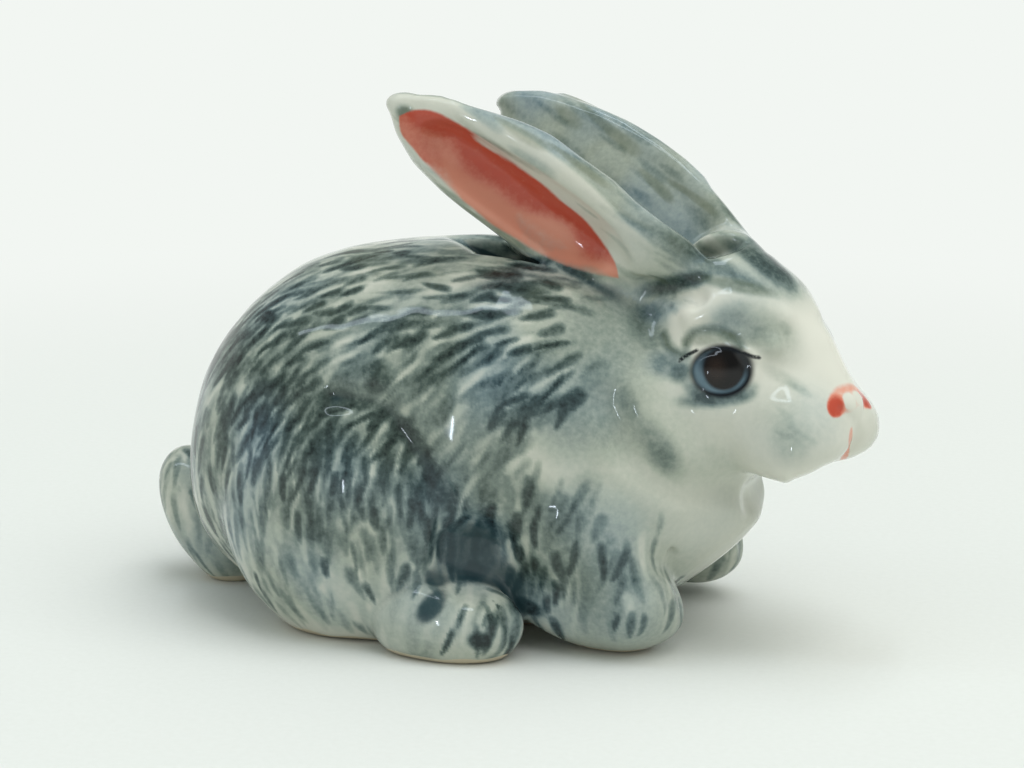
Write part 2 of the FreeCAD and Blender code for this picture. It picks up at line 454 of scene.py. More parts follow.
def lay_roll(place, corners, radius, height, fillet, reach=9.0):
    """A roll of clay laid along a path on the skin, or pressed in where height is negative."""
    spots = np.array([touch(place, u, v, reach) for u, v in smooth_path(corners)])
    centres = spots - slope(clay, spots) * (radius - abs(height)) * np.sign(height)
    middle = centres.mean(axis=0)
    slices = region(middle, np.linalg.norm(centres - middle, axis=1).max() + radius + fillet + 0.5)
    tool = add_clay if height > 0 else press
    tool(slices, roll_distance(cells(slices), centres, radius), fillet)


# %% [markdown]
# ## Axes of the head, the face and the ears
#
# The head is tipped down and turned towards the viewer.  The face is drawn as
# it is seen in the photograph: across, up and out from the middle of the eye.
# The ears have x from the root to the tip.

# %% The head and the face
body_low, body_high = (np.array(corner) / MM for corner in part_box("body"))


def on_body(along, across, up):
    """A place given as shares of the body's length, half width and height."""
    share = np.array([along, 0.5 + across / 2, up])
    return body_low + share * (body_high - body_low)


EYE = (1.05, -5.28, 1.06)
HEAD_ON_BODY = (0.974, 0.0, 0.7176)
head = Place(on_body(*HEAD_ON_BODY), turned(pitch=-28.0, yaw=-24.0))

viewer = np.array(towards(CAMERA_AZIMUTH, CAMERA_ELEVATION))
across = np.array([math.cos(math.radians(CAMERA_AZIMUTH)), math.sin(math.radians(CAMERA_AZIMUTH)), 0.0])
view_up = np.cross(viewer, across)
view_axes = np.stack([across, view_up, viewer], axis=1)
face_axes = head.turn.T @ view_axes


def mirrored(local, side):
    """A place of the right side, moved to the side asked for."""
    return np.asarray(local, float) * (1, -side, 1)


face = {}
for side_name, side in SIDES.items():
    axes = head.turn @ (face_axes * np.array([[1], [-side], [1]]))
    face[side_name] = Place(head.world(mirrored(EYE, side)), axes)
print("head at", head.centre.round(2))

# %% The ears
EAR_ROOT = (-3.52, -1.97, 2.72)
EAR_RISE = {"right": 30.5, "left": 28.0}
EAR_SPREAD, EAR_TURN, EAR_ROLL = 16.0, 4.5, 26.0
ear = {}
for side_name, side in SIDES.items():
    yaw = 180.0 - side * EAR_SPREAD - EAR_TURN
    axes = turned(pitch=EAR_RISE[side_name], yaw=yaw, roll=side * EAR_ROLL)
    ear[side_name] = Place(head.world(mirrored(EAR_ROOT, side)), axes)
print("ears rooted at", [place.centre.round(2).tolist() for place in ear.values()])

# %% [markdown]
# ## Smoothing and modelling
#
# A wet sponge softens every join, and the fingers leave the surface a little
# uneven.  Then the lids, the brows, the nose, the mouth and the toes are
# modelled with thin rolls of clay and a pointed tool.

# %% Softening and unevenness


def running_mean(block, reach, axis):
    """The mean over a window of cells along one axis."""
    width = 2 * reach + 1
    padding = [(0, 0)] * 3
    padding[axis] = (reach + 1, reach)
    total = np.cumsum(np.pad(block, padding, mode="edge"), axis=axis, dtype=np.float64)
    total = np.moveaxis(total, axis, 0)
    mean = (total[width:] - total[:-width]) / width
    return np.ascontiguousarray(np.moveaxis(mean, 0, axis), np.float32)


def blurred(block, radius, passes=2):
    reach = max(1, round(radius / VOXEL))
    for _ in range(passes):
        for axis in range(3):
            block = running_mean(block, reach, axis)
    return block


def uneven(wavelength, height, waves=5):
    """Low waves in all directions, as fingers leave them."""
    for _ in range(waves):
        direction = rng.normal(size=3)
        direction *= 2 * math.pi / wavelength / np.linalg.norm(direction)
        phases = [direction[i] * axes_mm[i] for i in range(3)]
        phase = phases[0][:, None, None] + phases[1][None, :, None] + phases[2][None, None, :]
        clay[...] += height / math.sqrt(waves) * np.sin(phase + rng.uniform(0, 6.28)).astype(np.float32)


clay = blurred(clay, 0.2)
uneven(wavelength=9.0, height=0.06)
uneven(wavelength=4.0, height=0.025)
print("softened clay fills", int((clay < 0).sum()), "cells")

# %% The eyes and the jaw
LID = [(-2.4, 0.85), (-1.3, 1.4), (-0.35, 1.6), (0.95, 1.25), (2.1, 0.75)]
LOWER_LID = [(-2.1, -0.9), (-1.0, -1.6), (0.2, -1.7), (1.3, -1.15), (1.9, -0.2)]
LID_CREASE = [(-2.3, 1.85), (-1.3, 2.55), (-0.35, 2.6), (0.55, 2.25), (1.3, 1.5)]
BROW = [(-1.9, 3.4), (-0.5, 4.0), (0.7, 4.4), (2.2, 4.3), (3.8, 3.4)]
JAW = [(-5.2, -1.6), (-4.1, -3.8), (-2.2, -5.3), (1.1, -5.8), (4.3, -6.0)]
UNDER_JAW = [(-7.0, -2.2), (-5.6, -5.0), (-3.2, -7.0), (0.9, -7.6), (4.1, -7.9)]
# the centre and the radii of each egg, on the face's own axes
BROW_DIP = ((1.6, 2.7, 1.5), (2.4, 1.1, 1.5))
SOCKET = ((-0.1, -0.1, 1.1), (2.3, 1.85, 1.3))
EYEBALL = ((-0.15, -0.1, -0.72), (1.95, 1.6, 1.2))


def model_eye(place):
    """A domed eyeball between two lids, with a crease and a brow above."""
    slices = region(place.centre, 6.0)
    local = place.local(cells(slices))
    press(slices, egg_distance(local, *BROW_DIP), fillet=1.0)
    lay_roll(place, BROW, radius=0.8, height=0.28, fillet=0.6)
    press(slices, egg_distance(local, *SOCKET), fillet=0.5)
    add_clay(slices, egg_distance(local, *EYEBALL), fillet=0.2)
    lay_roll(place, LID, radius=0.3, height=0.14, fillet=0.25)
    lay_roll(place, LOWER_LID, radius=0.3, height=0.07, fillet=0.3)
    lay_roll(place, LID_CREASE, radius=0.28, height=-0.12, fillet=0.3)


def model_jaw(place):
    """The cheek ends in a round jaw, and the throat falls back below it."""
    lay_roll(place, UNDER_JAW, radius=1.3, height=-0.55, fillet=1.2)
    lay_roll(place, JAW, radius=1.7, height=0.45, fillet=1.4)


# %% The cheeks and the muzzle
# the ends of rods and the centre of an egg on the right side, on the head's own axes
BRIDGE = [(3.0, 0.9, 2.6), (6.6, 0.5, 1.0)]
CHEEK = [(1.0, -3.4, -2.0), (6.3, -1.9, -0.8)]
LIP_PAD = (6.0, -2.1, -0.8)
CLEFT = [(9.2, 0.0, 0.9), (9.3, 0.0, -2.6)]
NOSTRIL = [(8.6, -0.6, 1.8), (7.8, -1.3, 2.2)]
LIP_LINE = [(8.3, -0.2, -3.3), (5.9, -2.9, -3.9)]


def head_rod(local, ends, radii, side=-1):
    """Distance to a rod of the right side, moved to the side asked for."""
    return rod_distance(local, mirrored(ends[0], side), mirrored(ends[1], side), *radii)


def fill_cheeks():
    """Clay that rounds the cheeks off into the muzzle, the bridge of the nose and fuller lips."""
    slices = region(head.world((4.0, 0.0, 0.0)), 9.5)
    local = head.local(cells(slices))
    add_clay(slices, head_rod(local, BRIDGE, (1.5, 1.4)), fillet=1.2)
    for side in SIDES.values():
        add_clay(slices, head_rod(local, CHEEK, (2.9, 2.3), side), fillet=1.6)
        add_clay(slices, egg_distance(local, mirrored(LIP_PAD, side), (3.3, 2.55, 2.5)), fillet=1.8)


def model_muzzle():
    """A cleft between the two pads, a chin line and the pits of the nostrils."""
    slices = region(head.world((7.0, 0.0, -1.0)), 6.0)
    local = head.local(cells(slices))
    press(slices, head_rod(local, CLEFT, (0.2, 0.3)), fillet=0.8)
    for side in SIDES.values():
        press(slices, head_rod(local, NOSTRIL, (0.16, 0.24), side), fillet=0.3)
        press(slices, head_rod(local, LIP_LINE, (0.15, 0.1), side), fillet=0.5)


# %% The outline of the head
PICTURE_WIDTH, PICTURE_HEIGHT = 1024, 768
# the outline of the crown, the forehead and the nose, then of the chin, in pixels of that picture
UPPER_OUTLINE = [
    (690, 0), (705, 150), (709, 180), (732, 208), (750, 231), (768, 251), (779, 261), (800, 275.5),
    (811, 291), (830.5, 327), (859, 385), (866, 393), (874, 404), (880, 417), (882, 430), (885, 620),
]
LOWER_OUTLINE = [
    (784, 720), (790, 484), (800, 478.5), (814, 472), (822, 467), (836, 462), (852, 458), (866, 451),
    (874, 444), (881, 430), (884, 400),
]
SCRAPE_STEEPNESS = 0.6


def trim_far_side():
    """The far cheek, brow and crown are scraped down to the outline that the camera sees."""
    slices = region(head.world((2.0, 1.0, 2.0)), 15.0)
    spots = cells(slices) - (np.array(CAMERA_TARGET) + viewer * CAMERA_DISTANCE)
    depth = -(spots @ viewer)
    pixel = depth * SENSOR_WIDTH / PICTURE_WIDTH / FOCAL_LENGTH
    px = PICTURE_WIDTH / 2 + spots @ across / pixel
    py = PICTURE_HEIGHT / 2 - spots @ view_up / pixel
    below = py - np.interp(px, *np.transpose(UPPER_OUTLINE))
    above = np.interp(px, *np.transpose(LOWER_OUTLINE)) - py
    beyond = np.minimum(below, above) * pixel * SCRAPE_STEEPNESS
    press(slices, np.clip(beyond, -FAR, FAR), fillet=0.8)


# %% The cups and the edges of the ears
CUP_FLOOR = [(20.5, 0.0), (17.0, -0.5), (13.0, -1.1), (9.5, -1.2)]
EAR_RIDGE = [(21.5, 2.6), (18.6, 3.2), (14.8, 3.4), (10.6, 2.9), (6.5, 2.3), (2.2, 2.2)]
EAR_POCKET = [(4.6, -0.9), (3.0, 0.3), (1.4, 1.3)]
# the ear's lower, then its upper outline as the camera sees it, along the ear and up, on its middle plane
EAR_BOTTOM = [(7.0, -3.6), (8.4, -4.2), (11.1, -5.2), (12.9, -5.4), (14.7, -5.2), (17.6, -4.9), (19.5, -4.55),
              (22.1, -3.7), (24.0, -2.3), (25.0, -1.0)]
EAR_TOP = {
    "right": [(2.0, 2.6), (3.6, 3.0), (5.8, 3.1), (7.8, 3.4), (10.0, 4.2), (12.7, 4.4), (14.9, 4.7),
              (17.0, 4.35), (19.1, 3.7), (20.9, 2.9), (22.4, 2.7), (23.3, 2.1), (24.5, 1.1), (25.1, 0.0)],
    "left": [(1.3, 2.75), (3.3, 3.1), (5.4, 3.55), (8.1, 4.1), (10.6, 4.35), (13.0, 4.3), (15.9, 4.0),
             (18.6, 3.4), (21.3, 2.6), (23.1, 1.9), (25.0, 0.65), (25.7, -0.4)],
}
EDGE_RADIUS = 0.9
BACK_EDGE_DEPTH, FRONT_EDGE_DEPTH = 0.6, -0.3
BACK_CUT, FRONT_CUT = 2.6, 1.6
ABOVE_ROOT = [(-1.0, 9.0), (0.8, 4.2)]
BEFORE_ROOT = [(10.9, -9.0)]


def model_ear_edge(place, side, outline, way, depth, stations):
    """A rounded edge along an outline, and nothing left beyond it; way is 1 behind and -1 in front."""
    sight = place.turn.T @ viewer
    lean_x, lean_z = sight[0] / sight[1], sight[2] / sight[1]
    steep = math.hypot(1.0, lean_z)
    slices = region(place.world((12.5, 0.0, 0.0)), 14.0)
    local = place.local(cells(slices))
    y_edge = depth * side
    inward = way * EDGE_RADIUS * steep
    path = smooth_path(outline, 30)[1:-1]
    edge = [(x + y_edge * lean_x, y_edge, z + y_edge * lean_z - inward) for x, z in path]
    add_clay(slices, roll_distance(local, edge, EDGE_RADIUS), fillet=1.2)
    seen_x = local[..., 0] - local[..., 1] * lean_x
    seen_z = local[..., 2] - local[..., 1] * lean_z
    beyond = way * (np.interp(seen_x, *np.transpose(stations)) - seen_z) / steep
    if way > 0:
        beyond = np.maximum(beyond, side * local[..., 1] - BACK_CUT)
    else:
        beyond = np.maximum(np.maximum(beyond, -FRONT_CUT - beyond), np.abs(local[..., 1]) - FRONT_CUT)
    press(slices, beyond, fillet=0.7)


def model_ear(place, side, top):
    """A rounded back edge, a rounded front edge, a deep cup between them and a hollow at the root."""
    outer = Place(place.centre, place.turn @ np.array([[1, 0, 0], [0, 0, -side], [0, 1, 0]]))
    tip_x, tip_z = top[-1]
    round_tip = [(tip_x + 0.12, tip_z - 1.3), (tip_x + 0.2, -9.0)]
    model_ear_edge(place, side, top, 1, BACK_EDGE_DEPTH, ABOVE_ROOT + top + round_tip)
    model_ear_edge(place, side, EAR_BOTTOM, -1, FRONT_EDGE_DEPTH, BEFORE_ROOT + EAR_BOTTOM[2:])
    lay_roll(outer, CUP_FLOOR, radius=1.9, height=-0.75, fillet=0.7)
    lay_roll(outer, EAR_RIDGE, radius=0.45, height=0.16, fillet=0.5)
    lay_roll(outer, EAR_POCKET, radius=0.75, height=-0.5, fillet=0.5)


# %% The haunches
HAUNCH_CREASE = [(-11.6, -0.9), (-8.6, -1.3), (-6.4, -4.0), (-4.45, -7.1), (-3.9, -9.8), (-4.9, -12.6)]
RECESS = (3.3, -12.4, 7.0)
RECESS_CHANNEL = [(2.4, -12.3, 7.8), (6.2, -12.4, 4.4)]
flank = {}
for side_name, side in SIDES.items():
    flank[side_name] = Place(np.array(CAMERA_TARGET), view_axes * np.array([[1], [-side], [1]]))


def model_haunch(place, side):
    """A crease drawn round the front of the haunch, and a recess between foot and foreleg."""
    lay_roll(place, HAUNCH_CREASE, radius=0.9, height=-0.4, fillet=0.7, reach=18.0)
    slices = region((3.0, side * 11.0, 6.0), 8.0)
    spots = cells(slices)
    press(slices, egg_distance(spots, mirrored(RECESS, side), (2.8, 2.9, 2.7)), fillet=1.2)
    press(slices, head_rod(spots, RECESS_CHANNEL, (1.2, 1.1), side), fillet=1.2)


# %% The forelegs, the toes and the vent
SHOULDER_HEIGHT = 0.33
PAW_HEIGHT = {-1: 0.15, 1: 0.18}
VENT_RADIUS = 1.5


def model_foreleg(side):
    """The shoulder runs down into the paw."""
    shoulder = on_body(0.725, side * 0.60, SHOULDER_HEIGHT)
    paw = on_body(0.825, side * 0.60, PAW_HEIGHT[side])
    slices = region((shoulder + paw) / 2, 8.0)
    add_clay(slices, rod_distance(cells(slices), shoulder, paw, 2.9, 2.5), fillet=1.6)


def model_toes(name, spread, length):
    """Two shallow lines down the front of a paw."""
    low, high = (np.array(corner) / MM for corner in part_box(name))
    front = np.array([high[0], (low[1] + high[1]) / 2, (low[2] + high[2]) / 2])
    slices = region(front, 4.0)
    spot = cells(slices)
    for offset in (-spread, spread):
        top = front + (-length, offset, 0.30 * (high[2] - low[2]))
        tip = front + (0.15, offset, -0.28 * (high[2] - low[2]))
        press(slices, rod_distance(spot, top, tip, 0.18, 0.26), fillet=0.5)


def press_vent():
    """The air hole under the body, which keeps the hollow figurine from bursting in the kiln."""
    spot = on_body(0.48, 0.0, 0.0)
    slices = region(spot, 5.0)
    vent = rod_distance(cells(slices), spot - (0, 0, 2), spot + (0, 0, 3.0), VENT_RADIUS, VENT_RADIUS)
    press(slices, vent, fillet=0.2)


# %% Modelling every feature
fill_cheeks()
for side_name, side in SIDES.items():
    model_eye(face[side_name])
    model_jaw(face[side_name])
    model_ear(ear[side_name], side, EAR_TOP[side_name])
    model_haunch(flank[side_name], side)
    model_foreleg(side)
    model_toes(f"foreleg_{side_name}", 0.9, 1.4)
    model_toes(f"hind_foot_{side_name}", 1.1, 1.6)
model_muzzle()
trim_far_side()
press_vent()
clay = blurred(clay, 0.1, passes=1)
under_table = axes_mm[2] < -1e-6
clay[:, :, under_table] = np.maximum(clay[:, :, under_table], VOXEL)

# %% [markdown]
# ## Skin
#
# The modelled clay is skinned with a fine net of four-cornered faces, each
# point drawn back onto the surface.

# %%


def skin_of(volume):
    grid = openvdb.FloatGrid()
    grid.transform = voxel_grid
    grid.background = FAR
    grid.copyFromArray(volume, ijk=tuple(int(i) for i in first_cell))
    points, quads = grid.convertToQuads(0.0)
    return points.astype(float), quads.astype(int)


points, quads = skin_of(clay)
normals = slope(clay, points)
quad_owner = owner[tuple((np.round(points[quads].mean(axis=1) / VOXEL).astype(int) - first_cell).T)]


def settle(labels, rounds=6):
    """Each face takes the label that most of the faces round it have."""
    for _ in range(rounds):
        votes = np.zeros((len(points), len(PIECES)), np.int32)
        np.add.at(votes, (quads.ravel(), np.repeat(labels, 4)), 1)
        labels = votes[quads].sum(axis=1).argmax(axis=1)
    return labels


quad_owner = settle(quad_owner)
point_owner = np.zeros(len(points), int)
point_owner[quads.ravel()] = np.repeat(quad_owner, 4)
print("skin of", len(points), "points;", {n: int((quad_owner == i).sum()) for i, n in enumerate(PIECES)})

# %% [markdown]
# ## Brushes
#
# The fur is painted under the glaze with a soft brush, one dab at a time.  Each
# point of the skin holds how much of each paint has reached it: full along the
# spine of a dab and fading to its edge, so that the material can draw a crisp
# or a watery edge from it.

# %%
# the fur paint also holds painted shade on the chest, the face and the flank's hollows; the pool paint holds
# pooled glaze and painted shade
PAINTS = ["fur", "blue", "olive", "pool", "coral", "deep", "ink", "rim"]
paint = {name: np.zeros(len(points)) for name in PAINTS}
piece_number = {name: number for number, name in enumerate(PIECES)}

BIN = 2.6
bin_low = points.min(axis=0) - BIN
bin_of = ((points - bin_low) / BIN).astype(int)
bin_count = bin_of.max(axis=0) + 2
flat_bin = np.ravel_multi_index(bin_of.T, bin_count)
by_bin = np.argsort(flat_bin, kind="stable")
bin_start = np.searchsorted(flat_bin[by_bin], np.arange(np.prod(bin_count) + 1))


def near(spot):
    """Numbers of the skin points in the bins round a spot."""
    i, j, k = np.clip((np.asarray(spot) - bin_low) / BIN, 1, bin_count - 2).astype(int)
    found = []
    for step_i in (-1, 0, 1):
        for step_j in (-1, 0, 1):
            first = np.ravel_multi_index((i + step_i, j + step_j, k - 1), bin_count)
            found.append(by_bin[bin_start[first] : bin_start[first + 3]])
    return np.concatenate(found)


def smooth_step(low, high, value):
    t = np.clip((value - low) / (high - low), 0.0, 1.0)
    return t * t * (3.0 - 2.0 * t)


def drift(spots, wavelength, waves=6):
    """A smooth random field over the figurine, about -1 to 1."""
    total = np.zeros(len(spots))
    for _ in range(waves):
        direction = rng.normal(size=3)
        direction *= 2 * math.pi / wavelength / np.linalg.norm(direction)
        total += np.sin(spots @ direction + rng.uniform(0, 6.28))
    return total / math.sqrt(waves / 2)


def put(name, numbers, amount):
    """Adds a transparent layer of paint, or wipes some away where the amount is negative."""
    under = paint[name][numbers]
    paint[name][numbers] = np.where(amount >= 0, 1 - (1 - under) * (1 - amount), under * (1 + amount))


def dab(name, spot, normal, lie, length, width, bend=0.0, strength=1.0):
    """One touch of a soft brush, narrower where it lifts off."""
    numbers = near(spot)
    offset = points[numbers] - spot
    run = offset @ lie
    along = np.clip(run / (length / 2), -1.0, 1.0)
    aside = offset @ np.cross(normal, lie) - bend * run**2 / length
    belly = width / 2 * (1.0 - along**2) ** 0.35 * (1.0 - 0.35 * along) + 1e-4
    across_share = np.clip(np.abs(aside) / belly, 0.0, 1.0)
    amount = strength * (1.0 - across_share**3) ** 2 * (1.0 - along**4)
    amount[normals[numbers] @ normal < 0.3] = 0.0
    put(name, numbers, amount)


def scatter(weight, spacing, count):
    """Numbers of skin points spread evenly, more of them where weight is high."""
    order = rng.permutation(len(points))
    order = order[rng.uniform(size=len(order)) < weight[order]][: 12 * count]
    kept, spots = [], np.full((count, 3), 1e6)
    for number in order:
        if np.min(np.sum((spots - points[number]) ** 2, axis=1)) > spacing**2:
            spots[len(kept)] = points[number]
            kept.append(number)
        if len(kept) == count:
            break
    return np.array(kept)


# %% [markdown]
# ## How the fur lies, and where it is painted
#
# The fur runs back along the spine and turns ever more steeply down the flanks,
# the thighs and the rump.  The chest, the throat and the belly stay white, under a
# thin wash of painted shade on the chest and the throat.

# %%
is_ear = np.isin(point_owner, [piece_number["ear_right"], piece_number["ear_left"]])
is_head = point_owner == piece_number["head"]
x, y, z = points.T


def share_of(names, radius=0.55):
    """1 on the named pieces and 0 on the others, with a soft change across the joints."""
    mine = np.isin(owner, [piece_number[name] for name in names]).astype(np.float32)
    return sample(blurred(mine, radius), points)


ear_share = {side_name: share_of([f"ear_{side_name}"]) for side_name in SIDES}
head_share = share_of(["head"])
foreleg_share = share_of(["foreleg_right", "foreleg_left"], 1.2)
thigh_share = share_of(["thigh_right", "thigh_left"], 1.2)
foot_share = share_of(["hind_foot_right", "hind_foot_left"], 0.8)
tail_share = share_of(["tail"], 0.8)


def unit(vectors):
    return vectors / np.maximum(np.linalg.norm(vectors, axis=-1, keepdims=True), 1e-9)


def fur_lie():
    """The way the fur lies at each point of the skin."""
    down = np.clip((26.0 - z) / 18.0, 0.0, 1.0) ** 0.7
    rump = np.clip((-8.0 - x) / 12.0, 0.0, 1.0)
    angle = np.radians(np.minimum(8 + 68 * down + 24 * rump + 20 * thigh_share + 8 * foreleg_share, 98))
    lie = np.stack([-np.cos(angle), np.zeros(len(points)), -np.sin(angle)], axis=1)
    for side_name in SIDES:
        lie[point_owner == piece_number[f"ear_{side_name}"]] = ear[side_name].turn[:, 0]
    lie[is_head] = -head.turn[:, 0]
    lie -= normals * np.sum(lie * normals, axis=1, keepdims=True)
    return unit(lie)


def fur_cover():
    """How thickly the fur is painted, from 0 to 1."""
    chest_edge = 7.7 + 0.45 * np.maximum(13.0 - z, 0.0) + 0.8 * drift(points, 9.0)
    cover = 1.0 - smooth_step(-3.0, 1.4, x - chest_edge)
    cover *= smooth_step(0.0, 3.2, z)
    cover *= 1.0 - thigh_share * 0.4 * (1.0 - smooth_step(5.0, 12.0, z))
    cover += foreleg_share * (0.5 * smooth_step(0.0, 4.5, z) - cover)
    cover += foot_share * (0.4 - cover)
    cover += tail_share * (0.42 - cover)
    return np.clip(cover * off_head, 0.0, 1.0)


off_head = np.clip(1.0 - head_share - ear_share["right"] - ear_share["left"], 0.0, 1.0)
lie = fur_lie()
cover = fur_cover()


def paint_fur(name, count, spacing, lengths, widths, strengths, weight, wander):
    """Many dabs of one paint, laid the way the fur lies."""
    for number in scatter(weight, spacing, count):
        turn = rng.normal(0.0, wander)
        aside = np.cross(normals[number], lie[number])
        dab(
            name,
            points[number],
            normals[number],
            lie[number] * math.cos(turn) + aside * math.sin(turn),
            rng.uniform(*lengths),
            rng.uniform(*widths),
            bend=rng.normal(0.0, 0.14),
            strength=rng.uniform(*strengths),
        )


clumps = np.clip(0.6 + 0.5 * drift(points, 10.0), 0.0, 1.0)
top = smooth_step(17.0, 25.0, z) * cover
flank_middle = smooth_step(8.0, 13.0, z) * (1.0 - smooth_step(19.0, 23.5, z)) * cover
neck = smooth_step(12.0, 16.0, z) * (1.0 - smooth_step(11.0, 14.5, x)) * off_head * (x > 4.0)
limbs = np.clip(0.75 * foot_share + 0.5 * foreleg_share + 0.5 * tail_share, 0.0, 1.0)
smooth_low = (1.0 - smooth_step(4.0, 12.0, z)) * (1.0 - limbs)
rump = smooth_step(-6.0, -16.0, x) * cover
# the thin even wash on the front, chest and throat, is painted shade below the head
base = 0.34 * np.maximum(cover**0.5, 0.85 * neck) + 0.13 * off_head * smooth_step(6.0, 9.0, x)
base = base + 0.05 * flank_middle - 0.05 * rump - 0.05 * top - 0.04 * smooth_low + 0.05 * foreleg_share
paint["fur"][:] = np.clip(base + 0.07 * cover * drift(points, 5.0), 0.0, 1.0)
paint["blue"][:] = np.clip(0.14 + 0.3 * drift(points, 7.0), 0.0, 1.0)
paint["olive"][:] = 0.4 * top * smooth_step(0.2, 1.0, drift(points, 7.0))
stroke_weight = 0.05 * cover * (1.0 - 0.65 * top) * (1.0 - limbs) * (1.0 - 0.45 * smooth_low)
paint_fur("fur", 600, 1.0, (3.0, 6.0), (1.2, 2.4), (0.06, 0.2), stroke_weight, 0.15)
paint_fur("fur", 1300, 0.75, (1.6, 3.8), (0.5, 1.15), (0.14, 0.4), stroke_weight, 0.16)
paint_fur("fur", 850, 0.9, (1.6, 4.2), (0.45, 1.0), (-0.55, -0.2), 0.05 * cover * (1.0 - limbs), 0.14)
dark_weight = 0.05 * (cover**1.6 * (1.0 - 0.75 * top) + 0.9 * flank_middle) * clumps * (1.0 - 0.4 * rump)
dark_weight *= (1.0 - 0.7 * limbs) * (1.0 - 0.7 * smooth_low)
paint_fur("fur", 950, 0.8, (1.6, 3.6), (0.5, 1.1), (0.4, 0.85), dark_weight, 0.2)
print("fur painted")

# %% [markdown]
# ## Glaze and painted shade in the creases
#
# Coloured glaze runs into the hollows and is dark there, and the shade that falls
# in them is painted in with it.  How hollow a place is follows from how much clay
# lies round it.

# %%


def hollowness(radius):
    """How much more clay than half surrounds each point of the skin."""
    return sample(blurred(np.clip(0.5 - clay / VOXEL, 0.0, 1.0), radius), points) - 0.5


# darker in the hollows and creases: pooled glaze and painted shade
crease = smooth_step(0.03, 0.14, hollowness(0.5)) * 0.45 + smooth_step(0.03, 0.17, hollowness(1.4)) * 0.75
both_ears = ear_share["right"] + ear_share["left"]
pool_and_shade_weight = (1.0 - 0.75 * np.clip(head_share + both_ears, 0.0, 1.0)) * (1.0 - smooth_step(8.5, 11.5, x) * 0.85)
paint["pool"][:] = np.clip(crease * pool_and_shade_weight, 0.0, 1.0)
paint["rim"][:] = 1.0 - smooth_step(0.3, 0.55, z + 0.08 * drift(points, 2.0))


def patch(name, place, centre, radii, turn, strength, soft):
    """A soft-edged patch of paint, drawn as the place's own front sees it."""
    spot = touch(place, *centre, reach=18.0)
    reach = 1.8 * max(radii) + 0.5
    numbers = np.flatnonzero(np.sum((points - spot) ** 2, axis=1) < reach**2)
    local = place.local(points[numbers])[:, :2] - centre
    c, s = math.cos(math.radians(turn)), math.sin(math.radians(turn))
    wide = (local[:, 0] * c + local[:, 1] * s) / radii[0]
    high = (local[:, 1] * c - local[:, 0] * s) / radii[1]
    amount = strength * (1.0 - smooth_step(1.0 - soft, 1.0 + soft, np.hypot(wide, high)))
    amount[normals[numbers] @ place.turn[:, 2] < -0.2] = 0.0
    put(name, numbers, amount)


def paint_patches(table, place, soft):
    """The patches of a table: across, up, two radii, turn and strength, listed under each paint."""
    for name, rows in table.items():
        for u, v, radius_u, radius_v, turn, strength in rows:
            patch(name, place, (u, v), (radius_u, radius_v), turn, strength, soft)


# dark patches in the hollows and creases of the flank: painted shade, with pooled glaze in them
HOLLOW_SHADE_AND_POOL_PATCHES = {
    "fur": [
        (-2.5, -12.3, 0.75, 0.6, 20, 0.95), (-5.4, -14.6, 0.9, 0.6, 50, 0.6),
        (0.9, -14.6, 1.1, 0.5, -20, 0.9), (-2.1, -16.6, 0.7, 0.55, -10, 0.95),
        (-10.4, -1.1, 2.2, 0.5, -12, 0.5), (-6.9, -3.1, 2.2, 0.6, -50, 0.6),
        (-4.9, -6.4, 2.0, 0.5, -68, 0.45), (-16.45, 4.5, 0.58, 0.45, 10, 0.85),
        (0.6, 6.2, 1.7, 0.6, -10, 0.7),
        (-8.5, 0.3, 1.1, 0.8, 55, 0.5), (-6.4, 2.7, 1.0, 0.35, 50, 0.6), (-9.0, 0.7, 1.1, 0.35, 55, 0.5),
        (-16.8, 0.3, 1.0, 0.4, 62, 0.5), (-16.6, -2.4, 1.0, 0.4, 72, 0.5), (-8.0, -6.0, 1.6, 0.4, 80, 0.45),
        (-1.0, 2.0, 1.0, 0.35, 50, 0.5), (-4.3, -1.7, 1.5, 0.45, 65, 0.5),
    ],
    "pool": [
        (-5.2, -14.4, 1.3, 0.7, 50, 0.9), (-2.4, -10.6, 1.5, 1.7, 0, 0.8), (-0.6, -12.6, 1.3, 1.0, -40, 0.7),
    ],
    "blue": [(-2.4, -10.8, 2.4, 2.6, 0, 1.0)],
}
for side_name in SIDES:
    paint_patches(HOLLOW_SHADE_AND_POOL_PATCHES, flank[side_name], soft=0.45)

# %% [markdown]
# ## The painted face
#
# The lids are drawn with a fine brush in blue-black.  Round them lie thin grey
# and blue washes, and the nose and the mouth are orange-red.  A broad grey wash
# over the cheek and the jaw, and another over the muzzle, are painted shade.

# %%


def draw_line(name, place, corners, width, strength=1.0):
    """A drawn line on the skin; the paint falls off evenly from its middle."""
    spots = np.array([touch(place, u, v, reach=12.0) for u, v in smooth_path(corners, 24)])
    numbers = np.unique(np.concatenate([near(spot) for spot in spots[::3]]))
    offset = np.full(len(numbers), 99.0)
    for start, end in zip(spots[:-1], spots[1:]):
        offset = np.minimum(offset, rod_distance(points[numbers], start, end, 0.0, 0.0))
    put(name, numbers, strength * np.clip(1.0 - offset / width, 0.0, 1.0))


